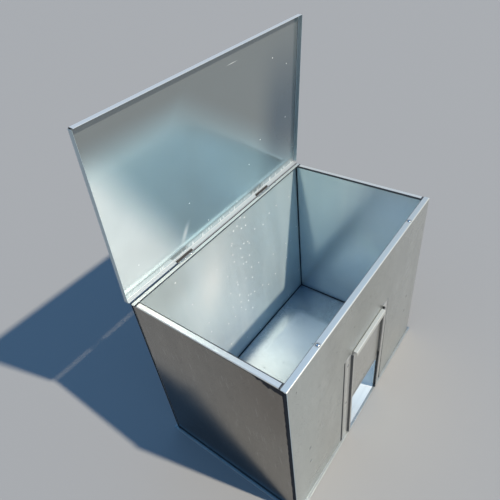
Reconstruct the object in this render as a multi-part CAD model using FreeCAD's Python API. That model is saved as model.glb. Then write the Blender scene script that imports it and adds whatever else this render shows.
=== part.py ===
import FreeCAD, Part
import math
import os

# Coal bunker of folded galvanised sheet: an open box with a turned-in rim, a hinged lid that
# stands open, and a shovel hatch in the front whose gate slides up between two rails.
# Millimetres. X runs along the front, the front faces -Y, Z is up. The origin is the middle
# of the underside of the base.

Vec = FreeCAD.Vector

# ---- driving sizes ----
WIDTH = 950.0  # outside of the box along the front
DEPTH = 570.0  # outside of the box, front to back
HEIGHT = 725.0  # underside of the base to the top of the rim

WALL = 1.2  # sheet of the walls
FLOOR = 1.2  # sheet of the base
FOLD = 2.0  # inside radius of an ordinary fold
SNUG = 0.1  # clearance between pieces that are folded or riveted together
RUN = 1.0  # clearance of the gate's edges in its rails
DRILL = 10.0  # a rivet hole's cutter reaches this far each way from the rivet's seat
TINY = 1e-6  # below this two lengths are the same

RIM = 21.0  # width of the turned-in rim
HEM = 8.0  # width of the hem folded under the rim's edge
HEM_GAP = 0.6  # space inside that hem
LAP = 10.0  # front and back wrap this far round the corners, over the sides
CREVICE = 3.0  # side sheets stop this short of the front and back sheets
LEDGE = 10.0  # the seam round the base stands out this far

HATCH_WIDTH = 220.0  # hole in the front
HATCH_TOP = 245.0  # height of its upper edge
HATCH_CORNER = 4.0  # radius of its upper corners

GATE_WIDTH = 240.0
GATE_HEIGHT = 281.0
GATE_SHEET = 1.2
GATE_RAISED = 196.0  # how far the gate stands above its closed place
GATE_BACKLASH = 0.3  # gate to front wall
GATE_FOOTROOM = 0.4  # closed gate to the seam under it
GATE_HEM = 9.0  # folded lower edge
GATE_HEM_GAP = 0.6
GATE_FLANGE = 6.6  # stiffening flanges at the gate's sides
GATE_FOOT = 30.0  # the flanges stop this far above the lower edge
GATE_FOOT_INSET = 6.0  # and the gate is this much narrower there, each side
GATE_SHOULDER = 14.0  # the flanges stop this far below the handle fold
HANDLE_WIDTH = 216.0
HANDLE_REACH = 15.7  # handle fold, out from the wall
HANDLE_DROP = 20.0
STOP_HEIGHT = 25.0  # stop rivet above the gate's lower edge
STOP_HEAD = 5.0
STOP_TAIL = 4.0

RAIL_SHEET = 1.2
RAIL_TOP = 480.0
RAIL_REACH = 10.0  # rail, out from the wall
RAIL_LIP = 10.0  # lip that holds the gate
RAIL_FLANGE = 40.0  # flange riveted to the wall, with the web
RAIL_RIVETS = (227.0, 442.0)  # heights

LID_SHEET = 1.2
LID_OVERHANG = 6.0  # past the box at each side
LID_FRONT_GAP = 12.0  # past the front of the box
LID_LIP = 17.0  # depth of the turned-down edge
LID_BELOW_AXIS = 2.0  # the rear lip ends this far below the hinge axis
LID_NOTCH = 8.0  # top of the notch for the barrel, above the hinge axis
LID_OPEN = 85.0  # the lid stands open at this angle from level

HINGE_LENGTH = 75.0
HINGE_SPACING = 450.0  # middle to middle
HINGE_SHEET = 1.5
BARREL = 4.0  # outside radius
PIN_FIT = 0.08  # pin to bore, on the radius
PIN_HEAD = 0.8  # the pin stands out this far at each end
KNUCKLES = 5
KNUCKLE_GAP = 0.4
AXIS_BEHIND = 3.0  # hinge axis behind the back wall
RIM_LEAF = 15.0  # from the axis
LID_LEAF = 13.5  # from the axis
RIM_LEAF_RIVETS = 9.5  # from the axis
LID_LEAF_RIVETS = 10.0
HINGE_RIVETS = (-27.0, -7.0, 21.0)  # along the hinge, from its middle

RIVET_SHANK = 1.6
RIVET_HEAD = 3.2
RIVET_DOME = 1.2
RIVET_TAIL = 2.4
RIVET_UPSET = 0.8
LID_RIVET_TAIL = 1.7  # smaller, beside the fold of the lid

BUFFER_SPACING = 620.0  # the two studs on the front rim that the lid comes down on
BUFFER_INSET = 10.5  # from the front
BUFFER_RADIUS = 6.0
BUFFER_HEIGHT = 3.2

STRAP_INSET = 95.0  # stiffening straps inside the front, from the sides
STRAP_WIDTH = 30.0
STRAP_BOTTOM = 190.0
STRAP_TOP = 322.0
STRAP_SHEET = 1.5
STRAP_CORNER = 4.0
STRAP_RIVETS = (213.0, 298.0)

RIM_RIVET_SPACING = 608.0  # small rivets through the back rim
RIM_RIVET_INSET = 8.0

SILL_INSIDE = 22.0  # the sill strip reaches this far into the box

# ---- sizes that follow ----
HALF_X = WIDTH / 2
HALF_Y = DEPTH / 2
SEAM = 2 * FLOOR + WALL  # thickness of the seam round the base
RIM_STACK = 2 * WALL + HEM_GAP
BARE_LOW = FLOOR + WALL + FOLD  # the walls are flat from here
BARE_HIGH = HEIGHT - WALL - FOLD  # to here
RAIL_WEB = GATE_WIDTH / 2 + RUN  # inner face of a rail's web, from the hatch's middle
AXIS_Y = HALF_Y + AXIS_BEHIND
AXIS_Z = HEIGHT + BARREL
LID_TOP = LID_LIP - LID_BELOW_AXIS  # top of the closed lid above the hinge axis
LID_REACH = DEPTH + AXIS_BEHIND + LID_FRONT_GAP  # hinge axis to the lid's front face
GATE_BOTTOM = SEAM + GATE_FOOTROOM + GATE_RAISED
HINGES = {"left": -HINGE_SPACING / 2, "right": HINGE_SPACING / 2}
SIDES = {"left": -1, "right": 1}


# ---- tools ----
def along(axis, at):
    """Place (u, v) of a section on the plane across an axis."""
    if axis == "X":
        return lambda u, v: Vec(at, u, v)
    if axis == "Y":
        return lambda u, v: Vec(u, at, v)
    return lambda u, v: Vec(u, v, at)


def fold_section(path, sheet, place):
    """Face of a folded sheet. path holds (u, v, inside radius) along the sheet's middle."""
    half = sheet / 2
    points = [Vec(u, v, 0) for u, v, _ in path]
    steps = [(b - a).normalize() for a, b in zip(points, points[1:])]
    left = [Vec(-s.y, s.x, 0) for s in steps]

    def side(sign):
        edges = []
        here = points[0] + left[0] * (sign * half)
        for i in range(1, len(points) - 1):
            turn = steps[i - 1].x * steps[i].y - steps[i - 1].y * steps[i].x
            bend = math.copysign(1.0, turn)
            radius = path[i][2] + half
            reach = radius * math.tan(math.asin(min(1.0, abs(turn))) / 2)
            start = points[i] - steps[i - 1] * reach
            end = points[i] + steps[i] * reach
            centre = start + left[i - 1] * (bend * radius)
            own = radius - sign * bend * half
            first = start + left[i - 1] * (sign * half)
            last = end + left[i] * (sign * half)
            middle = centre + (points[i] - centre).normalize() * own
            if (first - here).Length > TINY:
                edges.append((here, None, first))
            if own > TINY:
                edges.append((first, middle, last))
            here = last
        tip = points[-1] + left[-1] * (sign * half)
        edges.append((here, None, tip))
        return edges

    out = side(1)
    back = [(c, b, a) for a, b, c in reversed(side(-1))]
    loop = out + [(out[-1][2], None, back[0][0])] + back + [(back[-1][2], None, out[0][0])]

    def edge(a, b, c):
        a3, c3 = place(a.x, a.y), place(c.x, c.y)
        if b is None:
            return Part.LineSegment(a3, c3).toShape()
        return Part.Arc(a3, place(b.x, b.y), c3).toShape()

    return Part.Face(Part.Wire([edge(*e) for e in loop]))


def folded(path, sheet, axis, start, end):
    """A folded sheet: its section carried along an axis."""
    way = {"X": Vec(1, 0, 0), "Y": Vec(0, 1, 0), "Z": Vec(0, 0, 1)}[axis]
    return fold_section(path, sheet, along(axis, start)).extrude(way * (end - start))


def block(x, y, z):
    """Box from three (low, high) pairs."""
    return Part.makeBox(x[1] - x[0], y[1] - y[0], z[1] - z[0], Vec(x[0], y[0], z[0]))


def rod(radius, start, end):
    return Part.makeCylinder(radius, (end - start).Length, start, end - start)


def dome(radius, height, at, way):
    """Low round head with its flat side at a point."""
    ball = (radius * radius + height * height) / (2 * height)
    centre = at + way * (height - ball)
    return Part.makeSphere(ball, centre).common(rod(radius, at, at + way * (height * 2)))


def rivet(seat, way, grip, head=RIVET_HEAD, rise=RIVET_DOME, tail=RIVET_TAIL):
    """Rivet with its head's seat at a point, its head facing way, through a grip."""
    foot = seat - way * grip
    shank = rod(RIVET_SHANK, foot, seat)
    upset = dome(tail, RIVET_UPSET, foot, way * -1)
    return shank.fuse([dome(head, rise, seat, way), upset]).removeSplitter()


def drilled(shape, seats, way):
    """Rivet holes through a shape at some seats."""
    radius = RIVET_SHANK + SNUG / 2
    return shape.cut([rod(radius, seat + way * DRILL, seat - way * DRILL) for seat in seats])


def mirror_y(shape):
    return shape.mirror(Vec(0, 0, 0), Vec(0, 1, 0))


def mirror_x(shape):
    return shape.mirror(Vec(0, 0, 0), Vec(1, 0, 0))


def save(name, *shapes):
    solids = [s for shape in shapes for s in shape.Solids]
    for solid in solids:
        assert solid.isValid() and solid.Volume > 0, name
    shape = solids[0] if len(solids) == 1 else Part.makeCompound(solids)
    shape.exportStep(f"parts/{name}.step")


# ---- the box ----
def wall_path(face, low, high, foot, rim, inward):
    """Middle line of a wall's section: foot flange, wall, rim and hem, as (across, up, radius).

    face is the wall's outer face and inward the sign towards the inside. low and high are the
    ends where foot or rim is left out.
    """
    mid = face + inward * WALL / 2
    path = []
    if foot:
        path += [(face - inward * foot, FLOOR + WALL / 2, 0), (mid, FLOOR + WALL / 2, FOLD)]
    else:
        path += [(mid, low, 0)]
    if rim:
        edge = face + inward * (rim - WALL / 2)
        top = HEIGHT - WALL / 2
        under = top - WALL - HEM_GAP
        path += [(mid, top, FOLD), (edge, top, HEM_GAP / 2), (edge, under, HEM_GAP / 2)]
        path += [(face + inward * (rim - HEM), under, 0)]
    else:
        path += [(mid, high, 0)]
    return path


def end_panel():
    """Back sheet, made at the front: wall with rim, foot flange and wrapped corners."""
    corner = FOLD + WALL
    foot = LEDGE - FLOOR - WALL / 2 - SNUG
    face = -HALF_Y
    middle = folded(
        wall_path(face, 0, 0, foot, RIM, 1), WALL, "X", -HALF_X + corner, HALF_X - corner
    )
    mid_x, mid_y, tip = HALF_X - WALL / 2, face + WALL / 2, face + LAP
    wrap = [(-mid_x, tip, 0), (-mid_x, mid_y, FOLD), (mid_x, mid_y, FOLD), (mid_x, tip, 0)]
    corners = folded(wrap, WALL, "Z", BARE_LOW + SNUG, BARE_HIGH)
    rim = folded(wall_path(face, BARE_HIGH, 0, 0, RIM, 1), WALL, "X", -HALF_X, HALF_X)
    tops = [
        block(x, (face + corner, tip), (BARE_HIGH, HEIGHT - WALL / 2))
        for x in ((-HALF_X, -HALF_X + WALL), (HALF_X - WALL, HALF_X))
    ]
    return middle.fuse([corners, rim] + tops).removeSplitter()


def hatch_hole():
    """Cutter for the hole in the front."""
    half = HATCH_WIDTH / 2
    deep = (-HALF_Y - LEDGE, -HALF_Y + LEDGE)
    hole = block((-half, half), deep, (0, HATCH_TOP))
    tops = [e for e in hole.Edges if abs(abs(e.CenterOfMass.x) - half) < TINY
            and abs(e.CenterOfMass.z - HATCH_TOP) < TINY]
    return hole.makeFillet(HATCH_CORNER, tops)


def front_seats():
    """Seats of the rivets in the front: rails, then straps."""
    rail_x = RAIL_WEB + (RAIL_FLANGE + RAIL_SHEET) / 2
    strap_x = HALF_X - STRAP_INSET
    rails = {
        side: [Vec(sign * rail_x, -HALF_Y - RAIL_SHEET, z) for z in RAIL_RIVETS]
        for side, sign in SIDES.items()
    }
    straps = {
        side: [Vec(sign * strap_x, -HALF_Y, z) for z in STRAP_RIVETS]
        for side, sign in SIDES.items()
    }
    return rails, straps


def buffer_seats():
    return [Vec(s * BUFFER_SPACING / 2, -HALF_Y + BUFFER_INSET, HEIGHT) for s in SIDES.values()]


def hinge_seats(middle):
    return [Vec(middle + x, AXIS_Y - RIM_LEAF_RIVETS, HEIGHT + HINGE_SHEET)
            for x in HINGE_RIVETS]


def rim_seats():
    return [Vec(s * RIM_RIVET_SPACING / 2, HALF_Y - RIM_RIVET_INSET, HEIGHT)
            for s in SIDES.values()]


def side_panel(sign):
    """Side sheet: wall with foot flange, and a rim between the front and back rims."""
    face = sign * (HALF_X - WALL)
    foot = LEDGE + WALL - FLOOR - WALL / 2 - SNUG
    top = HEIGHT - RIM_STACK - SNUG
    inside = HALF_Y - WALL - CREVICE
    reach = RIM - WALL
    between = HALF_Y - RIM - SNUG
    lower = folded(wall_path(face, 0, top, foot, 0, -sign), WALL, "Y", -inside, inside)
    upper = folded(wall_path(face, BARE_HIGH, 0, 0, reach, -sign), WALL, "Y", -between, between)
    return lower.fuse(upper).removeSplitter()


def base_sheet():
    """Base whose edges are folded up and over the walls' foot flanges."""
    middle = FLOOR / 2
    over = middle + FLOOR + WALL
    turn = WALL / 2
    hem = FOLD + SNUG

    def section(half):
        edge = half + LEDGE - FLOOR / 2
        path = [(-half - hem, over, 0), (-edge, over, turn), (-edge, middle, turn)]
        return path + [(-u, v, r) for u, v, r in reversed(path)]

    along_x = folded(section(HALF_Y), FLOOR, "X", -HALF_X - LEDGE, HALF_X + LEDGE)
    along_y = folded(section(HALF_X), FLOOR, "Y", -HALF_Y, HALF_Y)
    return along_x.fuse(along_y).removeSplitter()


def sill_strip():
    """Strip in the base seam that carries it across the hatch."""
    half = HATCH_WIDTH / 2 - SNUG
    outer = -HALF_Y - LEDGE + FLOOR + WALL / 2 + SNUG
    return block((-half, half), (outer, -HALF_Y + SILL_INSIDE), (FLOOR, FLOOR + WALL))


def strap(sign):
    """Stiffening strap on the inside of the front."""
    x = sign * (HALF_X - STRAP_INSET)
    inner = -HALF_Y + WALL
    plate = block(
        (x - STRAP_WIDTH / 2, x + STRAP_WIDTH / 2),
        (inner, inner + STRAP_SHEET),
        (STRAP_BOTTOM, STRAP_TOP),
    )
    corners = [e for e in plate.Edges if abs(e.Length - STRAP_SHEET) < TINY]
    return plate.makeFillet(STRAP_CORNER, corners)


# ---- the hatch ----
def rail(sign):
    """Rail beside the hatch: flange on the wall, web, and a lip over the gate's edge."""
    half = RAIL_SHEET / 2
    web = RAIL_WEB + half
    out = -HALF_Y - RAIL_REACH + half
    on = -HALF_Y - half
    path = [
        (RAIL_WEB - RAIL_LIP, out, 0),
        (web, out, RAIL_SHEET / 2),
        (web, on, RAIL_SHEET / 2),
        (RAIL_WEB + RAIL_FLANGE, on, 0),
    ]
    shape = folded(path, RAIL_SHEET, "Z", BARE_LOW + SNUG, RAIL_TOP)
    return shape if sign > 0 else mirror_x(shape)


def gate_plate():
    """Gate: hemmed lower edge, stiffening flanges, and a top folded out and down as a handle."""
    half = GATE_SHEET / 2
    mid = -HALF_Y - GATE_BACKLASH - half
    top = GATE_BOTTOM + GATE_HEIGHT
    turn = GATE_HEM_GAP / 2
    under = mid - GATE_SHEET - GATE_HEM_GAP
    hem = [
        (under, GATE_BOTTOM + GATE_HEM, 0),
        (under, GATE_BOTTOM + half, turn),
        (mid, GATE_BOTTOM + half, turn),
    ]
    lip = -HALF_Y - HANDLE_REACH + half
    handle = [(mid, top - half, FOLD), (lip, top - half, FOLD), (lip, top - HANDLE_DROP, 0)]
    waist = top - GATE_SHOULDER
    foot = GATE_BOTTOM + GATE_FOOT
    edge = GATE_WIDTH / 2
    low = edge - GATE_FOOT_INSET
    face = folded(hem + handle, GATE_SHEET, "X", -HANDLE_WIDTH / 2, HANDLE_WIDTH / 2)
    band = folded(hem + [(mid, foot + half, 0)], GATE_SHEET, "X", -low, low)
    flange = mid + half - GATE_SHEET - GATE_FLANGE
    side = edge - half
    tray = [(-side, flange, 0), (-side, mid, FOLD / 2), (side, mid, FOLD / 2), (side, flange, 0)]
    shape = face.fuse([band, folded(tray, GATE_SHEET, "Z", foot, waist)]).removeSplitter()
    return drilled(shape, [stop_seat()], Vec(0, -1, 0))


def stop_seat():
    face = -HALF_Y - GATE_BACKLASH - GATE_SHEET
    return Vec(0, face, GATE_BOTTOM + STOP_HEIGHT)


# ---- the lid ----
def opened(shape):
    """A shape made at the level, closed lid, turned to where the lid stands open."""
    turned = shape.copy()
    turned.rotate(Vec(0, AXIS_Y, AXIS_Z), Vec(1, 0, 0), -LID_OPEN)
    return turned


def lid_seats(middle):
    """Seats of the rivets that hold a hinge to the rear lip, on the closed lid."""
    return [Vec(middle + x, AXIS_Y + BARREL, AXIS_Z + LID_LEAF_RIVETS) for x in HINGE_RIVETS]


def lid_sheet():
    """Lid: a sheet with its four edges turned down, notched round the hinge barrels."""
    half = LID_SHEET / 2
    top = AXIS_Z + LID_TOP - half
    low = AXIS_Z - LID_BELOW_AXIS
    rear = AXIS_Y + BARREL - HINGE_SHEET - half
    front = AXIS_Y - LID_REACH + half
    side = HALF_X + LID_OVERHANG - half
    relief = FOLD + LID_SHEET
    across = [(front, low, 0), (front, top, FOLD), (rear, top, FOLD), (rear, low, 0)]
    down = [(-side, low, 0), (-side, top, FOLD), (side, top, FOLD), (side, low, 0)]
    sheet = folded(across, LID_SHEET, "X", -side - half + relief, side + half - relief)
    sheet = sheet.fuse(folded(down, LID_SHEET, "Y", front - half + relief, rear + half - relief))
    room = HINGE_LENGTH / 2 + PIN_HEAD + KNUCKLE_GAP
    for middle in HINGES.values():
        notch = block(
            (middle - room, middle + room),
            (rear - HINGE_SHEET, rear + HINGE_SHEET),
            (low - SNUG, AXIS_Z + LID_NOTCH),
        )
        sheet = drilled(sheet.cut(notch), lid_seats(middle), Vec(0, 1, 0))
    return sheet.removeSplitter()


# ---- the hinges ----
def knuckle_spans(middle, first):
    """X ranges of every other knuckle, starting at the first or the second."""
    pitch = HINGE_LENGTH / KNUCKLES
    start = middle - HINGE_LENGTH / 2
    return [(start + i * pitch, start + (i + 1) * pitch) for i in range(first, KNUCKLES, 2)]


def barrel(spans, radius, grow):
    """Rods on the hinge axis over some X ranges."""
    return [rod(radius, Vec(a - grow, AXIS_Y, AXIS_Z), Vec(b + grow, AXIS_Y, AXIS_Z))
            for a, b in spans]


def leaf(plate, own, other, bore):
    """Leaf with its knuckles rolled on, and square notches for the other leaf's knuckles."""
    gap, room = KNUCKLE_GAP / 2, BARREL + KNUCKLE_GAP
    across, height = (AXIS_Y - room, AXIS_Y + room), (AXIS_Z - room, AXIS_Z + room)
    notches = [block((a - gap, b + gap), across, height) for a, b in other]
    return plate.cut(notches).fuse(barrel(own, BARREL, -gap)).cut(bore).removeSplitter()


def hinge(middle):
    """Rim leaf, lid leaf and pin of one hinge, with the lid closed and level."""
    ends = (middle - HINGE_LENGTH / 2, middle + HINGE_LENGTH / 2)
    inner = BARREL - HINGE_SHEET
    bore = barrel([ends], inner, BARREL)
    odd, even = knuckle_spans(middle, 0), knuckle_spans(middle, 1)
    rim_plate = block(ends, (AXIS_Y - RIM_LEAF, AXIS_Y), (HEIGHT, HEIGHT + HINGE_SHEET))
    lid_plate = block(ends, (AXIS_Y + inner, AXIS_Y + BARREL), (AXIS_Z, AXIS_Z + LID_LEAF))
    rim_leaf = leaf(rim_plate, odd, even, bore)
    lid_leaf = leaf(lid_plate, even, odd, bore)
    rim_leaf = drilled(rim_leaf, hinge_seats(middle), Vec(0, 0, 1))
    lid_leaf = drilled(lid_leaf, lid_seats(middle), Vec(0, 1, 0))
    pin = barrel([ends], inner - PIN_FIT, PIN_HEAD)[0]
    return rim_leaf, lid_leaf, pin


def main():
    os.makedirs("parts", exist_ok=True)
    out, up, back = Vec(0, -1, 0), Vec(0, 0, 1), Vec(0, 1, 0)
    rail_seats, strap_seats = front_seats()

    panel = end_panel()
    front = panel.cut(hatch_hole())
    seats = [s for group in (rail_seats, strap_seats) for pair in group.values() for s in pair]
    save("front_panel", drilled(drilled(front, seats, out), buffer_seats(), up))

    rear = mirror_y(panel)
    over = [s for middle in HINGES.values() for s in hinge_seats(middle)] + rim_seats()
    save("back_panel", drilled(rear, over, up))

    save("base_sheet", base_sheet())
    save("hatch_sill", sill_strip())

    for side, sign in SIDES.items():
        save(f"side_panel_{side}", side_panel(sign))
        save(f"guide_rail_{side}", drilled(rail(sign), rail_seats[side], out))
        grip = RAIL_SHEET + WALL
        save(f"guide_rail_rivets_{side}", *[rivet(s, out, grip) for s in rail_seats[side]])
        save(f"front_strap_{side}", drilled(strap(sign), strap_seats[side], out))
        grip = STRAP_SHEET + WALL
        save(f"front_strap_rivets_{side}", *[rivet(s, out, grip) for s in strap_seats[side]])

    for side, seat in zip(SIDES, buffer_seats()):
        stud = rivet(seat, up, WALL, BUFFER_RADIUS, BUFFER_HEIGHT)
        save(f"rim_buffer_{side}", stud)
    save("rim_rivets_back", *[rivet(s, up, WALL, RIVET_TAIL, RIVET_UPSET) for s in rim_seats()])

    save("gate_plate", gate_plate())
    stop = rivet(stop_seat(), out, GATE_SHEET, STOP_HEAD, RIVET_DOME, STOP_TAIL)
    save("gate_stop_rivet", stop)

    save("lid_sheet", opened(lid_sheet()))
    for side, middle in HINGES.items():
        rim_leaf, lid_leaf, pin = hinge(middle)
        save(f"hinge_{side}_rim_leaf", rim_leaf)
        save(f"hinge_{side}_lid_leaf", opened(lid_leaf))
        save(f"hinge_{side}_pin", pin)
        grip = HINGE_SHEET + WALL
        rivets = [rivet(s, up, grip) for s in hinge_seats(middle)]
        save(f"hinge_{side}_rim_rivets", *rivets)
        grip = HINGE_SHEET + LID_SHEET
        rivets = [opened(rivet(s, back, grip, tail=LID_RIVET_TAIL)) for s in lid_seats(middle)]
        save(f"hinge_{side}_lid_rivets", *rivets)


main()
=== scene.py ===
import math

import bmesh
import bpy
from bpy.props import FloatProperty, FloatVectorProperty, IntProperty, PointerProperty
from mathutils import Matrix, Vector


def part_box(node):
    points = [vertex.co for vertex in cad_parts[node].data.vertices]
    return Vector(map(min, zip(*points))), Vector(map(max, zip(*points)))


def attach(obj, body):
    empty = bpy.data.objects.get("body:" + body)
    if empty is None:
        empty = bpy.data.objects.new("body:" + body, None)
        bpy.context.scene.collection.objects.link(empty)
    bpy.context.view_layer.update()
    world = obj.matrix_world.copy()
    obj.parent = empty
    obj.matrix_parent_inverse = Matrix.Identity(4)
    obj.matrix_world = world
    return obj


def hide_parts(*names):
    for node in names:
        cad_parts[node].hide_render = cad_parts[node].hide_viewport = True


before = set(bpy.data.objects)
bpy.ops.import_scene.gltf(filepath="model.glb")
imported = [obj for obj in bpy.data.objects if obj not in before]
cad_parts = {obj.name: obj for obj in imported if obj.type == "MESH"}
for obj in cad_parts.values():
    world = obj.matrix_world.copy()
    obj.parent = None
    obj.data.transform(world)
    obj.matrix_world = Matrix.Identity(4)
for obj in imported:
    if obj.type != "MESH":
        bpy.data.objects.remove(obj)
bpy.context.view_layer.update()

bl_info = {
    "name": "Coal bunker finish",
    "version": (1, 0, 0),
    "blender": (4, 5, 0),
    "location": "3D View > Sidebar > Bunker",
    "description": "Folded edges, rivets, sealant, zinc finishes and studio for a coal bunker",
    "category": "Object",
}

SIDES = ("left", "right")
UP = Vector((0, 0, 1))
FRONT = Vector((0, -1, 0))
LID_OPEN = math.radians(85)

# ---- making the pieces ----
WELD = 1e-6  # corners closer than this are one corner
SLIVER = 1e-5  # faces narrower than this are dropped
LONG = 0.012  # shorter edges, such as those of rivet holes, stay sharp
SHARP = math.radians(50)  # faces that turn by less are one curved face
CREASE = math.radians(35)  # the same on rivets and sealant

# ---- rivets: radius and height of their ends ----
HEAD = (0.0032, 0.0012)
TAIL = (0.0024, 0.0008)
STUD = (0.006, 0.0032)
STOP = (0.005, 0.0012)
LID_TAIL = (0.0017, 0.0008)
DOME_EDGE = 0.25  # height of a head's edge and of its hollow, as shares of the whole
DOME_HOLLOW = 0.62
HINGE_PITCH = 0.020  # between the first two rivets of a hinge leaf
LID_SEAT = Vector((0, 0.004, 0.010))  # from a hinge pin to a lid rivet, with the lid shut
LID_GRIP = 0.0027  # between the two ends of a lid rivet

# ---- the zinc itself ----
CLOUDS = (0.95, 1.04)  # shades of the clean sheet
WEATHER = (0.74, 1.24)  # and of its outer faces
GRAIN_DEPTH = 0.00002
DUST_FOLD = 0.030  # width of the dust along the inner corners
SPECK_CORE = 0.6  # share of a speck's radius that is solid
MATT = {"Specular IOR Level": 0.2}  # dirt glosses less than the shader's default

# ---- what lies on it, and painted light and shade ----
# blue grey of dust, and of painted shade low down and in the corners of the box
DUST_AND_SHADE_BLUE = (0.20, 0.29, 0.40)
# near-black of dirt, and of painted shade in gaps and under edges
BLACK_DIRT_AND_SHADE = (0.018, 0.020, 0.028)
# pale of lime, and of painted highlights, glints and reflections
LIME_AND_PAINTED_LIGHT = (0.92, 0.94, 0.93)
# white of chalky specks, and of painted light on the floor
CHALK_AND_PAINTED_LIGHT = (1.0, 1.0, 1.0)
# painted light: a warm pale patch on the back wall
WARM_PAINTED_LIGHT = (1.0, 0.97, 0.92)
# painted light on the side walls' shaded front part
TEAL_PAINTED_LIGHT = (0.90, 0.97, 1.0)
# near-black navy of the floor's shadow, painted as reflected in the outer sides
REFLECTED_SHADOW_NAVY = (0.020, 0.032, 0.055)
# painted shade on the outer sides
BROWN_SHADE = (0.20, 0.165, 0.135)
DARK_BARREL = (0.035, 0.028, 0.024)

# ---- where it has worn or aged otherwise, and where light and shade are painted ----
# pale of wear on the rims, and of a painted highlight on the gate's handle
WORN_AND_HIGHLIGHT = (0.72, 0.74, 0.70)
WORN_RIM = (0.80, 0.79, 0.73)
# painted shade: darker, bluer zinc of the floor behind the hatch
FLOOR_FRONT_SHADE = (0.54, 0.62, 0.68)
# teal, grey and dim zinc: painted shade on the back wall's inner face
TEAL_SHADE = (0.52, 0.65, 0.68)
GREY_SHADE = (0.55, 0.60, 0.58)
DIM = (0.50, 0.51, 0.48)
HANDLED = (0.32, 0.33, 0.30)
COOL = (0.45, 0.50, 0.50)
# painted shade on the floor
FLOOR_SHADE_GREY = (0.52, 0.525, 0.52)
# grey of the floor, painted as reflected in the lid
LID_FLOOR_REFLECTION = (0.320, 0.345, 0.347)
# dark blue of a painted reflection on the lid
LID_DARK_REFLECTION = (0.14, 0.19, 0.24)
# painted reflection on the lid
LID_PALE_REFLECTION = (0.50, 0.58, 0.60)
LID_FOOT = (0.46, 0.49, 0.50)
LID_BACK = (0.50, 0.52, 0.53)
# painted highlight on the lid's front flange
LID_FRONT_HIGHLIGHT = (0.76, 0.79, 0.79)
LID_SIDE = (0.55, 0.66, 0.70)
HINGE_ZINC = (0.46, 0.48, 0.49)
RIVET_STEEL = ((0.48, 0.49, 0.50), (0.68, 0.70, 0.71))
MASTIC = ((0.005, 0.006, 0.010), (0.018, 0.020, 0.028))

# ---- studio ----
STUDIO_REACH = 40.0
STUDIO_SINK = 0.0005  # the studio floor lies this far below the base
BACKDROP_BAND = (0.12, 0.35)  # heights in the sky between which its colours change
ZENITH_BAND = (0.3, 0.95)
KEY_COLOUR = (1.0, 0.93, 0.80)
KEY_FROM = Vector((0.160, -0.653, 0.740))
CAMERA_PLACE = (-0.967, -0.665, 1.705)
CAMERA_TURN = (50.84, 5.95, -53.36)  # degrees
SENSOR_WIDTH = 36.0  # millimetres, as the focal length
FOCAL_LENGTH = 32.78
LENS_SHIFT = (0.0014, -0.0146)


# ---- places taken from the frame ----
def low(node):
    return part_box(node)[0]


def high(node):
    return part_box(node)[1]


def middle(node):
    return (low(node) + high(node)) / 2


SHEET = 0.0012  # thickness of the sheet
SKIN = SHEET / 2  # how near a face counts as on it
LAP_X = high("front_panel").x  # laps of the front and back round the corners
OUTER_X = 0.4738  # outer faces
OUTER_Y = 0.285
INNER_X = 0.4726  # inner faces
INNER_Y = 0.2838
FLOOR_Z = 0.0036  # top of the base's folded edges
RIM_Z = high("front_panel").z
RIM_TOP = RIM_Z - SKIN
RIM_FACE = 0.0025  # depth below it that takes in the rim's upper side only
RIM_FOLD = 0.004  # depth that takes in its fold too
RIM_EDGE_X = 0.454  # inner edges of the rim
RIM_EDGE_Y = 0.264
LID_CREASE_X = 0.4766  # where the lid's side flanges start to turn, and where they are flat
LID_FLANGE_X = 0.4785
LID_CREASE_Z = 1.3058  # the same of its front flange
LID_FLANGE_Z = 1.3095
LID_FOOT_Z = high("hinge_left_pin").z - 0.001  # below this is its rear flange
RAIL_FLANGE = (0.1260, 0.1500)  # parts of the rails, from the hatch's middle
RAIL_WEB = (0.1208, 0.1232)
RAIL_LIP = (0.1100, 0.1212)
RAIL_OFF_Y = -0.2868  # in front of this, a rail is off the wall
RAIL_EDGE_SHADE = (0.1600, 0.1712)  # painted shade along a rail's outer edge, and how it narrows upwards
RAIL_EDGE_SHADE_TAPER = 0.010
STUD_RING = 0.013  # width of the painted shade round a stud and round a rivet
RIVET_RING = 0.010
BARREL = 0.0043  # radius that takes in a hinge's barrel
BEAD_INSET = 0.0018  # from the inner faces to the middle of the sealant
BEAD_HATCH = high("guide_rail_right").x * 0.78  # where it stops on each side of the hatch
BEAD_TOP = RIM_Z - 0.004
BEAD_STEP = 0.012  # between its rings
BEAD_UNEVEN = 0.0006


# ---- settings ----
def colour_setting(name, description, default):
    return FloatVectorProperty(name=name, description=description, subtype="COLOR",
                               default=default, min=0, max=1)


def share_setting(name, description, default):
    return FloatProperty(name=name, description=description, subtype="FACTOR",
                         default=default, min=0, max=1)


def length_setting(name, description, default):
    return FloatProperty(name=name, description=description, unit="LENGTH",
                         default=default, min=0, precision=5)


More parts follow.
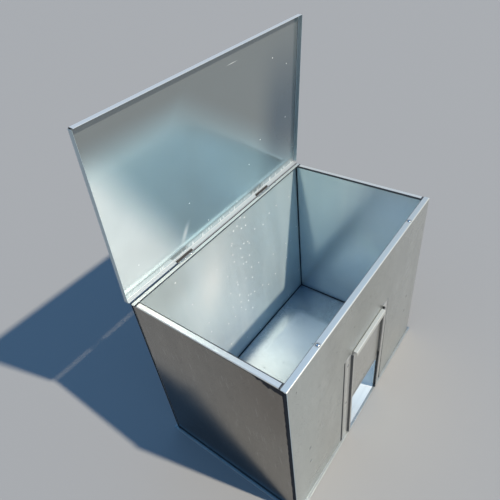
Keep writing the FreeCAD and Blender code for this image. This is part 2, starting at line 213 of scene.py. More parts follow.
class SheetSettings(bpy.types.PropertyGroup):
    inside: colour_setting("Inside", "Zinc of the clean inner faces", (0.84, 0.90, 0.89))
    # teal that stands in for the box's blue inside, reflected in the lid: painted reflection
    lid: colour_setting("Lid", "Zinc of the lid", (0.50, 0.68, 0.74))
    lid_top: colour_setting("Lid top", "Duller zinc of the lid's upper side", (0.46, 0.48, 0.48))
    front: colour_setting("Front", "Duller zinc of the outer front and back",
                          (0.400, 0.415, 0.402))
    # darker than the front, standing in for the dark ground that the sides reflect: painted shade
    side: colour_setting("Sides", "Dullest zinc, on the outer sides", (0.272, 0.253, 0.222))
    hatch: colour_setting("Hatch", "Zinc of the gate and its rails", (0.46, 0.465, 0.45))
    blur: share_setting("Blur", "How far the clean sheet blurs what it reflects", 0.17)
    scuffed: share_setting("Scuffed blur", "The same along the rim, which hands wear", 0.38)
    mirror: share_setting("Mirror", "Share of the clean zinc that mirrors", 0.7)
    waviness: length_setting("Waviness", "Height of the sheet's slow waves", 0.0016)
    fold: length_setting("Fold", "How far a folded edge is rounded off", 0.00045)


class FixingSettings(bpy.types.PropertyGroup):
    recess: share_setting("Recess", "Share of a rivet head that its hollow takes", 0.3)
    facets: IntProperty(name="Facets", description="Faces round a rivet head",
                        default=20, min=8, max=48)
    bead: length_setting("Bead", "Radius of the sealant in the inner corners", 0.0026)


class StageSettings(bpy.types.PropertyGroup):
    floor: colour_setting("Floor", "Colour of the studio floor", (0.335, 0.325, 0.313))
    zenith: colour_setting("Overhead", "Colour of the fill from above", (0.115, 0.45, 1.0))
    horizon: colour_setting("Low fill", "Colour of the fill from the sides", (0.235, 0.26, 0.295))
    backdrop: colour_setting("Backdrop", "Colour low down round the studio", (0.59, 0.59, 0.58))
    fill: FloatProperty(name="Fill", description="Strength of the soft fill",
                        default=0.75, min=0, max=2)
    key: FloatProperty(name="Key", description="Strength of the key lamp",
                       default=4.3, min=0, max=10)
    key_size: FloatProperty(name="Key size", description="Angle that the key lamp covers",
                            default=math.radians(1.5), min=0, max=math.pi, subtype="ANGLE")


# ---- node tools ----
class Wire:
    """An output of a node, usable in arithmetic."""

    def __init__(self, web, socket):
        self.web = web
        self.socket = socket

    def maths(self, operation, first, second=0.0):
        return self.web.node("ShaderNodeMath", {"operation": operation}, {0: first, 1: second})

    def __add__(self, other):
        return self.maths("ADD", self, other)

    def __radd__(self, other):
        return self.maths("ADD", other, self)

    def __sub__(self, other):
        return self.maths("SUBTRACT", self, other)

    def __rsub__(self, other):
        return self.maths("SUBTRACT", other, self)

    def __mul__(self, other):
        return self.maths("MULTIPLY", self, other)

    def __rmul__(self, other):
        return self.maths("MULTIPLY", other, self)

    def __truediv__(self, other):
        return self.maths("DIVIDE", self, other)

    def __pow__(self, other):
        return self.maths("POWER", self, other)

    def __abs__(self):
        return self.maths("ABSOLUTE", self)

    def over(self, edge):
        return self.maths("GREATER_THAN", self, edge)

    def under(self, edge):
        return self.maths("LESS_THAN", self, edge)

    def between(self, start, end):
        return self.over(start) * self.under(end)

    def least(self, other):
        return self.maths("MINIMUM", self, other)

    def most(self, other):
        return self.maths("MAXIMUM", self, other)


class Web:
    """A node tree under construction."""

    def __init__(self, tree):
        self.tree = tree
        tree.nodes.clear()

    def node(self, kind, settings=None, links=None, out=0):
        """New node: its settings first, then the values or wires of its sockets."""
        made = self.tree.nodes.new(kind)
        for key, value in (settings or {}).items():
            setattr(made, key, value)
        for key, value in (links or {}).items():
            if isinstance(value, Wire):
                self.tree.links.new(value.socket, made.inputs[key])
            else:
                made.inputs[key].default_value = value
        return Wire(self, made.outputs[out])

    def parts(self, vector):
        """The x, y and z of a vector or colour."""
        split = self.node("ShaderNodeSeparateXYZ", links={0: vector})
        return [Wire(self, output) for output in split.socket.node.outputs]

    def ramp(self, value, start, end):
        """Smooth step of a value, 0 at start and 1 at end."""
        if start > end:
            return 1.0 - self.ramp(value, end, start)
        links = {"Value": value, "From Min": start, "From Max": end}
        return self.node("ShaderNodeMapRange", {"interpolation_type": "SMOOTHSTEP"}, links)

    def tint(self, share, first, second):
        """Mix of two colours, by a share of the second."""
        made = self.node("ShaderNodeMix", {"data_type": "RGBA"}, {"Factor": share}).socket.node
        colours = [socket for socket in made.inputs if socket.type == "RGBA"]
        for socket, value in zip(colours, (first, second)):
            if isinstance(value, Wire):
                self.tree.links.new(value.socket, socket)
            else:
                socket.default_value = (*value, 1.0)
        return Wire(self, next(output for output in made.outputs if output.type == "RGBA"))


class Finish(Web):
    """A material under construction."""

    def __init__(self, name):
        self.material = bpy.data.materials.new(name)
        self.material.use_nodes = True
        super().__init__(self.material.node_tree)
        self.place = self.node("ShaderNodeTexCoord", out="Object")

    def scaled(self, factors):
        """The place, stretched along the axes."""
        return self.node("ShaderNodeVectorMath", {"operation": "MULTIPLY"},
                         {0: self.place, 1: factors})

    def noise(self, place, scale, detail=2.0, rough=0.5):
        links = {"Vector": place, "Scale": scale, "Detail": detail, "Roughness": rough}
        return self.node("ShaderNodeTexNoise", links=links)

    def bump(self, height, depth, normal=None):
        links = {"Height": height, "Distance": depth}
        if normal:
            links["Normal"] = normal
        return self.node("ShaderNodeBump", links=links)

    def surface(self, colour, rough, metallic, normal=None, fixed=None):
        """The finished material, with further sockets fixed."""
        links = {"Base Color": colour, "Roughness": rough, "Metallic": metallic, **(fixed or {})}
        if normal:
            links["Normal"] = normal
        if not isinstance(colour, Wire):
            links["Base Color"] = (*colour, 1.0)
        shader = self.node("ShaderNodeBsdfPrincipled", links=links)
        end = self.tree.nodes.new("ShaderNodeOutputMaterial")
        self.tree.links.new(shader.socket, end.inputs["Surface"])
        return self.material


class Shaper(Web):
    """A Geometry Nodes tree with named inputs."""

    def __init__(self, name, sizes):
        super().__init__(bpy.data.node_groups.new(name, "GeometryNodeTree"))
        sockets = self.tree.interface
        sockets.new_socket("Geometry", in_out="INPUT", socket_type="NodeSocketGeometry")
        for label, value in sizes.items():
            kind = "NodeSocketInt" if isinstance(value, int) else "NodeSocketFloat"
            sockets.new_socket(label, in_out="INPUT", socket_type=kind)
        sockets.new_socket("Geometry", in_out="OUTPUT", socket_type="NodeSocketGeometry")
        entry = self.tree.nodes.new("NodeGroupInput")
        self.given = {output.name: Wire(self, output) for output in entry.outputs}
        self.sizes = sizes

    def close(self, shape, material):
        """End the tree: one real mesh, of one material."""
        real = self.node("GeometryNodeRealizeInstances", links={0: shape})
        done = self.node("GeometryNodeSetMaterial", links={0: real, "Material": material})
        end = self.tree.nodes.new("NodeGroupOutput")
        self.tree.links.new(done.socket, end.inputs[0])

    def grow(self, name, mesh, body, slot, nodes=()):
        """Piece that the tree makes of a starting mesh, riding on a body."""
        seed = bpy.data.objects.new(name + "_seed", mesh)
        bpy.context.collection.objects.link(seed)
        modifier = seed.modifiers.new("shape", "NODES")
        modifier.node_group = self.tree
        for socket in self.tree.interface.items_tree:
            if socket.in_out == "INPUT" and socket.name in self.sizes:
                modifier[socket.identifier] = self.sizes[socket.name]
        graph = bpy.context.evaluated_depsgraph_get()
        shape = bpy.data.meshes.new_from_object(seed.evaluated_get(graph))
        bpy.data.objects.remove(seed)
        material = next(made for made in shape.materials if made)
        shape.materials.clear()
        shape.materials.append(material)
        shape.polygons.foreach_set("material_index", [0] * len(shape.polygons))
        shape.shade_smooth()
        shape.set_sharp_from_angle(angle=CREASE)
        return add_piece(name, shape, body, nodes)


def add_piece(name, mesh, body, nodes=()):
    """Piece of the scene, riding on a body in place of some nodes."""
    mesh.name = name
    piece = bpy.data.objects.new(name, mesh)
    bpy.context.collection.objects.link(piece)
    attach(piece, body)
    if nodes:
        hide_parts(*nodes)
    return piece


def dress(material, *nodes):
    """Give nodes of the frame a finish."""
    for name in nodes:
        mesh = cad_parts[name].data
        mesh.materials.clear()
        mesh.materials.append(material)


# ---- finishes ----
def shades(colour, *factors):
    """Lighter and darker versions of a colour."""
    return [tuple(part * factor for part in colour) for factor in factors]


def tinted(colour, *factors):
    """A colour with its red, green and blue scaled."""
    return tuple(part * factor for part, factor in zip(colour, factors))


class Zinc(Finish):
    """Galvanised sheet: cloudy, with a fine grain and slow waves, and layers over it.

    Places are in metres along the frame's axes. A share of 1 covers all of the zinc.
    """

    def __init__(self, name, settings, colour, blur, mirror):
        super().__init__(name)
        self.x, self.y, self.z = self.parts(self.place)
        self.cloud = self.noise(self.place, scale=4.0, detail=3.0)
        self.grain = self.noise(self.place, scale=600.0, detail=2.0)
        self.colour = self.tint(self.cloud, *shades(colour, *CLOUDS))
        self.blur = blur
        self.mirror = mirror
        self.waves = self.bump(self.noise(self.place, scale=3.2, detail=1.0), settings.waviness)

    def layer(self, share, colour, mirror=None, blur=None):
        """Cover a share of the surface with something else."""
        self.colour = self.tint(share, self.colour, colour)
        if mirror is not None:
            self.mirror = self.mirror + share * (mirror - self.mirror)
        if blur is not None:
            self.blur = self.blur + share * (blur - self.blur)

    def dirt_and_shade(self, share, mirror=0.1, blur=None):
        """Cover a share with black, for dirt and for painted shade."""
        self.layer(share, BLACK_DIRT_AND_SHADE, mirror, blur)

    def caked_dirt_and_shade(self, share):
        """The same, thick and matt."""
        self.dirt_and_shade(share, 0.0, 0.9)

    def outside(self, mask, colour, blur, mirror):
        """Duller outer faces, with rain streaks down them and small scrapes."""
        rain = self.noise(self.scaled((9.0, 9.0, 1.6)), scale=2.2, detail=4.0, rough=0.6)
        mottle = self.noise(self.place, scale=26.0, detail=4.0, rough=0.65)
        weather = self.tint(rain * 0.6 + mottle * 0.4, *shades(colour, *WEATHER))
        self.layer(mask, weather, mirror, blur)
        self.layer(self.scratches(lean=0.12, width=0.003, length=0.070) * mask * 0.30, LIME_AND_PAINTED_LIGHT)
        self.layer(self.scratches(lean=-0.65, width=0.002, length=0.035) * mask * 0.45, BLACK_DIRT_AND_SHADE)
        stains = self.ramp(self.noise(self.place, scale=30.0, detail=3.0, rough=0.7), 0.66, 0.76)
        self.layer(stains * mask * 0.35, BLACK_DIRT_AND_SHADE)

    def near(self, value, centre, width):
        """1 where a value is at a centre, 0 beyond a width from it."""
        return self.ramp(abs(value - centre), width, 0.0)

    def rim(self, depth):
        """1 on the rim of the box, down to a depth below its top."""
        return self.z.over(RIM_TOP - depth)

    def specks(self, first, second, size, spacing, share):
        """Round specks over a plane, in a share of its cells."""
        spot = self.node("ShaderNodeCombineXYZ", links={0: first, 1: second})
        cells = {"Vector": spot, "Scale": 1 / spacing}
        away = self.node("ShaderNodeTexVoronoi", {"voronoi_dimensions": "2D"}, cells)
        pick = self.parts(Wire(self, away.socket.node.outputs["Color"]))[0]
        return self.ramp(away, size / spacing, size / spacing * SPECK_CORE) * pick.under(share)

    def ringed(self, rivets):
        """1 round the two rivets of a pair on the front, and of its mirror image."""
        a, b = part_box(rivets)
        lower = self.near(self.z, a.z + HEAD[0], RIVET_RING)
        upper = self.near(self.z, b.z - HEAD[0], RIVET_RING)
        return lower.most(upper) * self.near(abs(self.x), (a.x + b.x) / 2, RIVET_RING)

    def scratches(self, lean, width, length):
        """Fine straight marks, broken up, that lean from upright by an angle in radians."""
        run, rise = self.x + self.y, self.z
        across = run * math.cos(lean) - rise * math.sin(lean)
        along = run * math.sin(lean) + rise * math.cos(lean)
        spot = self.node("ShaderNodeCombineXYZ", links={0: across / width, 1: along / length})
        return self.ramp(self.noise(spot, scale=1.0, detail=1.0), 0.66, 0.74)

    def dust_and_shade(self):
        """Painted shade with some dust: darker and bluer towards the bottom and the inner
        corners, with dust crumbs along the folds.
        """
        deep = self.ramp(self.z, 0.45, 0.0)
        corner_shade = self.ramp(abs(self.x), 0.15, INNER_X) * self.ramp(self.z, 0.75, 0.1)
        patchy = self.noise(self.place, scale=7.0, detail=4.0, rough=0.6) * 0.5 + 0.6
        fold = self.ramp(abs(self.x), INNER_X - DUST_FOLD, INNER_X)
        fold = fold.most(self.ramp(abs(self.y), INNER_Y - DUST_FOLD, INNER_Y))
        crumbs = self.noise(self.place, scale=60.0, detail=4.0, rough=0.7)
        crumbs = crumbs * self.ramp(self.z, 0.040, FLOOR_Z)
        return (deep.most(corner_shade) * patchy * 0.6 + fold * crumbs * 0.8).least(1.0)

    def done(self):
        """The finished zinc, its blur a little uneven."""
        rough = self.blur + (self.cloud - 0.5) * 0.05 + (self.grain - 0.5) * 0.04
        grain = self.bump(self.grain, GRAIN_DEPTH, self.waves)
        return self.surface(self.colour, rough, self.mirror, grain, MATT)


# ---- pieces ----
def eased(node, name, body, material, fold):
    """Folded sheet in place of a node, its long outer edges rounded off."""
    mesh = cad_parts[node].data.copy()
    work = bmesh.new()
    work.from_mesh(mesh)
    bmesh.ops.remove_doubles(work, verts=work.verts, dist=WELD)
    edges = [edge for edge in work.edges if edge.is_manifold and edge.is_convex
             and edge.calc_length() > LONG and edge.calc_face_angle() > SHARP]
    bmesh.ops.bevel(work, geom=edges, offset=fold, segments=2, profile=0.5,
                    affect="EDGES", clamp_overlap=False)
    bmesh.ops.dissolve_degenerate(work, dist=SLIVER, edges=work.edges)
    bmesh.ops.triangulate(work, faces=[face for face in work.faces if len(face.verts) > 4])
    work.to_mesh(mesh)
    work.free()
    if mesh.has_custom_normals:
        mesh.attributes.remove(mesh.attributes["custom_normal"])
    mesh.shade_flat()
    mesh.materials.clear()
    mesh.materials.append(material)
    return add_piece(name, mesh, body, [node])


class BUNKER_OT_box(bpy.types.Operator):
    """Round off the folded edges of the box's sheets, and give them their zinc"""

    bl_idname = "bunker.box"
    bl_label = "Box"

    def execute(self, context):
        sheet = context.scene.bunker_sheet
        front, back = self.front(sheet), self.back(sheet)
        side, floor = self.side(sheet), self.floor(sheet)
        eased("front_panel", "front_sheet", "box", front, sheet.fold)
        eased("back_panel", "back_sheet", "box", back, sheet.fold)
        eased("side_panel_left", "side_sheet_left", "box", side, sheet.fold)
        eased("side_panel_right", "side_sheet_right", "box", side, sheet.fold)
        eased("base_sheet", "floor_sheet", "box", floor, sheet.fold)
        dress(floor, "hatch_sill", "front_strap_left", "front_strap_right")
        return {"FINISHED"}

    @staticmethod
    def end(name, sheet, inside, mirror):
        """Zinc that the front and back sheets start from, with dust and painted shade inside, and
        where its outer face is.
        """
        f = Zinc(name, sheet, inside, blur=sheet.blur + 0.28, mirror=mirror)
        outer = abs(f.y).over(OUTER_Y - SKIN) * f.z.under(RIM_TOP)
        # dust and painted shade: darker and bluer low down and in the inner corners
        f.layer(f.dust_and_shade() * (0.9 - outer), DUST_AND_SHADE_BLUE, mirror=0.5)
        return f, outer

    @staticmethod
    def weather(f, outer, sheet):
        """What both have outside, on their laps and along the rim."""
        f.outside(outer, tuple(sheet.front), blur=0.28, mirror=0.6)
        laps = abs(f.x).over(LAP_X - SKIN) * f.z.under(RIM_TOP)
        # the laps round the corners are painted near-black
        f.caked_dirt_and_shade(laps * 0.97)
        f.layer(f.rim(RIM_FOLD), WORN_AND_HIGHLIGHT, mirror=0.6, blur=sheet.scuffed)

    def back(self, sheet):
        """Zinc of the back sheet, with lime smears, drips and specks inside, painted light and
        shade on its inner face, and painted shade lines along its rim.
        """
        f, outer = self.end("back_zinc", sheet, tuple(sheet.inside), mirror=0.6)
        smears = f.noise(f.scaled((6.0, 1.0, 1.2)), scale=1.6, detail=3.0, rough=0.6)
        f.layer(f.ramp(smears, 0.40, 0.75) * (0.3 - outer), LIME_AND_PAINTED_LIGHT, mirror=0.3, blur=0.4)
        # painted shade: the back wall's inner face teal and darker towards the right, and greyer
        # to the far left
        f.layer(f.ramp(f.x, -0.05, 0.22) * (0.6 - outer), TEAL_SHADE)
        f.layer(f.ramp(f.x, -0.20, -0.40) * (0.5 - outer), GREY_SHADE)
        # painted light: a pale warm patch left of the middle; painted shade: a dim patch up on
        # the left
        painted_light_patch = f.near(f.x - f.z * 0.2, -0.24, 0.13) * f.near(f.z, 0.53, 0.24)
        f.layer(painted_light_patch * (0.62 - outer) * (f.cloud + 0.4), WARM_PAINTED_LIGHT, mirror=0.35)
        dim = f.near(f.x, -0.31, 0.14) * f.near(f.z, 0.64, 0.11)
        f.layer(dim * (0.5 - outer) * (f.cloud + 0.4), DIM)
        drips = f.near(f.x, 0.05, 0.10) * f.ramp(f.z, 0.12, 0.3)
        drips = f.specks(f.x, f.z, size=0.0040, spacing=0.024, share=0.15) * drips.over(0.3)
        f.layer(drips, CHALK_AND_PAINTED_LIGHT, mirror=0.0, blur=0.6)
        specks = f.specks(f.x, f.z, size=0.0036, spacing=0.050, share=0.2)
        f.layer(specks, CHALK_AND_PAINTED_LIGHT, mirror=0.0, blur=0.6)
        self.weather(f, outer, sheet)
        rim = f.rim(0.003)
        # painted shadow: a grey line along the back rim, where the hinge leaves lie
        f.layer(f.near(f.y, 0.2745, 0.0014) * rim * 0.5, DUST_AND_SHADE_BLUE, mirror=0.3)
        # painted shade: black lines at the rim's gap to the lid and along its inner edge
        rim_shade_lines = f.y.over(OUTER_Y - 0.0060).most(f.y.under(RIM_EDGE_Y + 0.0028))
        f.caked_dirt_and_shade(rim_shade_lines * rim * 0.98)
        return f.done()

    def front(self, sheet):
        """Zinc of the front sheet, handled round the hatch, with painted shade along the rails,
        along the rim's inner edge, round the stud and round the rivets.
        """
        inside = tinted(sheet.inside, 0.88, 0.97, 1.05)
        f, outer = self.end("front_zinc", sheet, inside, mirror=0.65)
        self.weather(f, outer, sheet)
        handled = f.near(f.x, -0.02, 0.34) * f.ramp(f.z, 0.34, 0.60)
        f.layer(handled * outer * 0.45, HANDLED)
        f.layer(f.ramp(f.x, -0.22, -0.42) * outer * 0.4, COOL)
        # painted shadow gap along each rail's outer edge on the front
        rail_edge_shade = abs(f.x).over(RAIL_EDGE_SHADE[0]) * (abs(f.x) + f.z * RAIL_EDGE_SHADE_TAPER).under(RAIL_EDGE_SHADE[1])
        rail_edge_shade = rail_edge_shade * f.z.under(high("guide_rail_left").z)
        f.dirt_and_shade(rail_edge_shade * outer * 0.95, mirror=0.1, blur=0.8)
        f.dirt_and_shade(f.specks(f.x, f.z, size=0.0036, spacing=0.120, share=0.4) * outer * 0.7)
        # painted shade: dark rings round the front strap rivets
        f.dirt_and_shade(f.ringed("front_strap_rivets_right") * outer)
        # painted shade: a dark line along the front rim's inner edge
        brink_shade = f.y.over(-RIM_EDGE_Y - 0.0022) * f.rim(RIM_FACE)
        f.caked_dirt_and_shade(brink_shade * 0.75)
        stud = middle("rim_buffer_right")
        # painted shade: a dark ring round the stud's foot
        ring = f.near(abs(f.x), stud.x, STUD_RING) * f.near(f.y, stud.y, STUD_RING)
        f.dirt_and_shade(ring * f.rim(RIM_FACE))
        return f.done()

    @staticmethod
    def side(sheet):
        """Zinc of the side sheets, the dullest outside, with painted shade, painted light and a
        painted reflection of the floor's shadow.
        """
        # a bluer copy of the inside zinc for the side walls, which lie in shade: painted shade
        inside = tinted(sheet.inside, 0.95, 1.03, 1.07)
        f = Zinc("side_zinc", sheet, inside, sheet.blur, sheet.mirror)
        outer = abs(f.x).over(OUTER_X - SKIN) * f.z.under(RIM_TOP)
        # dust and painted shade: darker and bluer low down and in the inner corners
        f.layer(f.dust_and_shade() * (1.0 - outer), DUST_AND_SHADE_BLUE, mirror=0.5)
        # painted light: the side walls pale and matt towards the front and up
        painted_light = f.ramp(f.y, 0.10, -0.20) * f.ramp(f.z, 0.25, 0.60)
        f.layer(painted_light * (0.95 - outer), TEAL_PAINTED_LIGHT, mirror=0.12)
        f.outside(outer, tuple(sheet.side), blur=sheet.blur, mirror=0.95)
        # painted reflection of the floor's shadow: navy low down on the outer sides, rising
        # towards the back
        reflected_shadow = f.ramp(f.z - f.y * 0.7, 0.32, 0.08)
        f.layer(reflected_shadow * outer * 0.62, REFLECTED_SHADOW_NAVY)
        # painted shade: the outer sides browner and darker towards the front top
        brown_shade = f.ramp(f.y, -0.02, -0.24) * f.ramp(f.z, 0.35, 0.62)
        f.layer(brown_shade * outer * 0.45, BROWN_SHADE)
        # a ragged near-black band on the outer sides by the front laps
        ragged = f.noise(f.place, scale=120.0, detail=3.0, rough=0.7)
        fringe = f.ramp(f.y, -0.258, -0.276) + ragged * 0.9
        f.caked_dirt_and_shade(f.ramp(fringe, 1.12, 1.22) * outer * 0.95)
        scuff = f.near(f.z, 0.43, 0.05) * f.near(f.y, -0.02, 0.05)
        scuff = f.ramp(f.scratches(lean=0.9, width=0.002, length=0.040) * scuff, 0.2, 0.4)
        f.dirt_and_shade(scuff * outer * 0.8)
        smudge = f.near(f.y, -0.262, 0.16) * f.near(f.z, 0.724, 0.050)
        blots = f.ramp(f.noise(f.place, scale=90.0, detail=3.0, rough=0.7) * smudge, 0.20, 0.28)
        f.caked_dirt_and_shade(blots * outer * 0.9)
        # painted shade: a dark band under the rim on the outer sides, towards the front
        under_rim_shade = f.rim(0.0070) * f.ramp(f.y, 0.15, -0.10)
        f.caked_dirt_and_shade(under_rim_shade * outer * 0.8)
        f.layer(f.rim(RIM_FOLD), WORN_RIM, mirror=0.55, blur=sheet.scuffed)
        # painted shade on the inner walls just under the rim
        under = f.z.between(RIM_TOP - 0.0185, RIM_TOP - 0.0020)
        under = under * abs(f.x).over(INNER_X - SKIN)
        f.caked_dirt_and_shade(under * (1.0 - outer) * 0.9)
        # painted shade along the rims' inner edges, and a dark joint line where the side rims
        # meet the front and back rims
        edges = abs(f.x).under(RIM_EDGE_X + 0.0036).most(abs(f.y).over(RIM_EDGE_Y - 0.0044))
        f.dirt_and_shade(edges * f.rim(RIM_FACE) * 0.96)
        return f.done()

    @staticmethod
    def floor(sheet):
        """Zinc of the base and the strips behind the front, with painted light and painted shade
        on the floor.
        """
        inside = tinted(sheet.inside, 0.89, 0.85, 0.86)
        f = Zinc("floor_zinc", sheet, inside, blur=sheet.blur + 0.10, mirror=0.69)
        # painted shade: the floor darker, bluer and less mirroring behind the hatch, toning down
        # the patch that the key lights there
        front_shade = f.ramp(f.y, -0.04, -0.16) * f.ramp(abs(f.x), 0.32, 0.20)
        f.layer(front_shade, FLOOR_FRONT_SHADE, mirror=0.15, blur=0.5)
        # painted light: a pale matt strip behind the front, right of the hatch
        f.layer(f.ramp(f.y, -0.18, -0.23) * f.ramp(f.x, 0.09, 0.13) * 0.9, CHALK_AND_PAINTED_LIGHT, mirror=0.0)
        # painted light: a pale patch over the floor's right half
        painted_light = f.ramp(f.x, 0.33, 0.29) * f.ramp(f.x, -0.05, 0.15) * f.ramp(f.y, 0.22, 0.18)
        f.layer(painted_light * (f.ramp(f.y, -0.20, -0.08) * 0.5 + 0.35), CHALK_AND_PAINTED_LIGHT, mirror=0.1)
        # painted shade: the floor greyer towards the left
        f.layer(f.ramp(f.x, 0.06, -0.10) * 0.75, FLOOR_SHADE_GREY)
        # painted shade: the floor's back right corner darker and bluer
        corner_shade = f.ramp(f.x, 0.15, INNER_X) * f.ramp(f.y, -0.2, INNER_Y)
        f.layer(corner_shade * (f.cloud + 0.3), DUST_AND_SHADE_BLUE, mirror=0.6)
        f.dirt_and_shade(f.specks(f.x, f.y, size=0.0036, spacing=0.080, share=0.3) * 0.8)
        ledge = abs(f.x).over(OUTER_X + SKIN).most(abs(f.y).over(OUTER_Y - SKIN))
        f.outside(ledge, tuple(sheet.front), blur=0.32, mirror=0.5)
        return f.done()


class BUNKER_OT_lid(bpy.types.Operator):
    """Round off the lid's folded edges, and give it its zinc"""

    bl_idname = "bunker.lid"
    bl_label = "Lid"

    def execute(self, context):
        sheet = context.scene.bunker_sheet
        eased("lid_sheet", "lid_folded", "lid", self.zinc(sheet), sheet.fold)
        return {"FINISHED"}

    @staticmethod
    def zinc(sheet):
        """Zinc of the lid, which stands open, so z runs from its hinges to its front edge. Its
        inner face carries painted reflections, highlights and shade.
        """
        f = Zinc("lid_zinc", sheet, tuple(sheet.lid), sheet.blur + 0.01, sheet.mirror)
        # painted reflection: grey of the floor over the lid's upper part
        floor_reflection = f.ramp(f.z + f.x * 0.7, 1.0, 1.2).most(f.ramp(f.z, 1.15, 1.27))
        f.layer(floor_reflection * 0.95, LID_FLOOR_REFLECTION)
        # painted reflection: a dark blue zone on the lid's right
        dark_reflection = f.ramp(f.x, 0.20, 0.37) * f.near(f.z, 0.98, 0.36)
        f.layer(dark_reflection * 0.8, LID_DARK_REFLECTION)
        # painted reflection: the lit floor, pale on the lid's lower left
        bright_reflection = f.ramp(f.x + f.z * 0.53, 0.27, 0.10) * f.ramp(f.z, 1.26, 1.12)
        bright_reflection = (bright_reflection * (f.cloud * 0.4 + 0.7) * 0.8).least(1.0)
        f.layer(bright_reflection * f.ramp(f.z, 0.728, 0.790), LIME_AND_PAINTED_LIGHT, mirror=0.15, blur=0.25)
        # painted reflection: a paler diagonal zone low on the lid's left
        pale_reflection = f.ramp(f.x * 1.4 - f.z, -1.02, -1.20) * f.ramp(f.z, 0.95, 0.82)
        f.layer(pale_reflection * 0.28, LID_PALE_REFLECTION)
        specks = f.specks(f.x, f.z, size=0.0022, spacing=0.080, share=0.12)
        f.layer(specks, LIME_AND_PAINTED_LIGHT, mirror=0.0, blur=0.6)
        f.layer(f.ramp(f.z, 0.760, 0.742) * 0.6, LID_FOOT, mirror=0.5)
        # painted glints: pale ticks along the crimped rear fold
        crimp_glints = f.ramp(f.noise(f.scaled((1.0, 0.15, 0.15)), scale=130.0, detail=2.0), 0.56, 0.64)
        f.layer(crimp_glints * f.ramp(f.z, 0.752, 0.735) * 0.5, LIME_AND_PAINTED_LIGHT, mirror=0.1)
        f.layer(f.z.under(LID_FOOT_Z), LID_BACK, mirror=0.4, blur=0.45)
        # painted highlight: the lid's front flange pale
        f.layer(f.z.over(LID_FLANGE_Z), LID_FRONT_HIGHLIGHT, mirror=0.5, blur=0.34)
        # painted shadow: dark lines where the lid's side and front flanges turn
        crease_shade = abs(f.x).over(LID_CREASE_X).most(f.z.between(LID_CREASE_Z, LID_FLANGE_Z))
        f.dirt_and_shade(crease_shade * 0.85, mirror=0.2, blur=0.7)
        f.layer(abs(f.x).over(LID_FLANGE_X) * 0.9, LID_SIDE, mirror=0.7, blur=0.3)
        # painted highlight: a pale streak by the left hinge
        glint_streak = f.near(f.x - f.z * 0.55, -0.632, 0.018) * f.near(f.z, 0.798, 0.050)
        f.layer(glint_streak * 0.7, LIME_AND_PAINTED_LIGHT, mirror=0.3)
        scratch = f.near(f.z, 1.265, 0.0018) * f.near(f.x, 0.105, 0.034)
        f.layer(scratch * 0.8, LIME_AND_PAINTED_LIGHT, mirror=0.2)
        way = Matrix.Rotation(-LID_OPEN, 3, "X") @ UP
        face = max(way.dot(v.co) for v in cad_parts["lid_sheet"].data.vertices)
        upper = (f.y * way.y + f.z * way.z).over(face - SKIN)
        f.outside(upper, tuple(sheet.lid_top), blur=0.26, mirror=0.7)
        return f.done()


class BUNKER_OT_hatch(bpy.types.Operator):
    """Round off the folded edges of the gate and its rails, and give them their zinc"""

    bl_idname = "bunker.hatch"
    bl_label = "Hatch"

    def execute(self, context):
        sheet = context.scene.bunker_sheet
        eased("gate_plate", "gate_folded", "gate", self.gate(sheet), sheet.fold)
        rail = self.rail(sheet)
        for side in SIDES:
            eased(f"guide_rail_{side}", f"rail_{side}", "box", rail, sheet.fold)
        return {"FINISHED"}

    @staticmethod
    def gate(sheet):
        """Zinc of the gate, scraped, and worn and painted lighter as a highlight on its handle.
        """
        f = Zinc("gate_zinc", sheet, shades(sheet.hatch, 0.88)[0], blur=0.28, mirror=0.6)
        f.layer(f.scratches(lean=0.05, width=0.002, length=0.060) * 0.4, LIME_AND_PAINTED_LIGHT)
        a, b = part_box("gate_plate")
        # worn, and painted lighter as a highlight: the front of the handle and the gate's top
        # edge
        worn = f.y.under(a.y + SHEET).most(f.z.over(b.z - 0.0016))
        f.layer(worn * 0.55, WORN_AND_HIGHLIGHT, mirror=0.3, blur=sheet.scuffed)
        return f.done()

    @staticmethod
    def rail(sheet):
        """Zinc of the rails, their flanges painted lighter as a highlight, with painted shade on
        their webs, on the right one's lip and round the rivets.
        """
        f = Zinc("rail_zinc", sheet, tuple(sheet.hatch), blur=0.28, mirror=0.6)
        # painted highlight: the flanges lighter
        f.layer(abs(f.x).between(*RAIL_FLANGE) * 0.30, LIME_AND_PAINTED_LIGHT)
        off = f.y.under(RAIL_OFF_Y)
        # painted shade on the rails' webs and on the right rail's lip
        f.dirt_and_shade(abs(f.x).between(*RAIL_WEB) * off * 0.8, mirror=0.3)
        f.dirt_and_shade(f.x.between(*RAIL_LIP) * off * 0.55, mirror=0.3)
        # painted shade: dark rings round the rail rivets
        f.dirt_and_shade(f.ringed("guide_rail_rivets_right"))
        return f.done()


class BUNKER_OT_hinges(bpy.types.Operator):
    """Finish the hinges"""

    bl_idname = "bunker.hinges"
    bl_label = "Hinges"

    def execute(self, context):
        f = Zinc("hinge_zinc", context.scene.bunker_sheet, HINGE_ZINC, blur=0.3, mirror=0.7)
        pin = middle("hinge_left_pin")
        y, z = f.y - pin.y, f.z - pin.z
        barrel = ((y * y + z * z) ** 0.5).under(BARREL)
        # the barrel painted near-black brown
        f.layer(barrel * 0.95, DARK_BARREL, mirror=0.2)
        dress(f.done(), *[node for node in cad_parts
                          if node.startswith("hinge_") and "rivets" not in node])
        return {"FINISHED"}


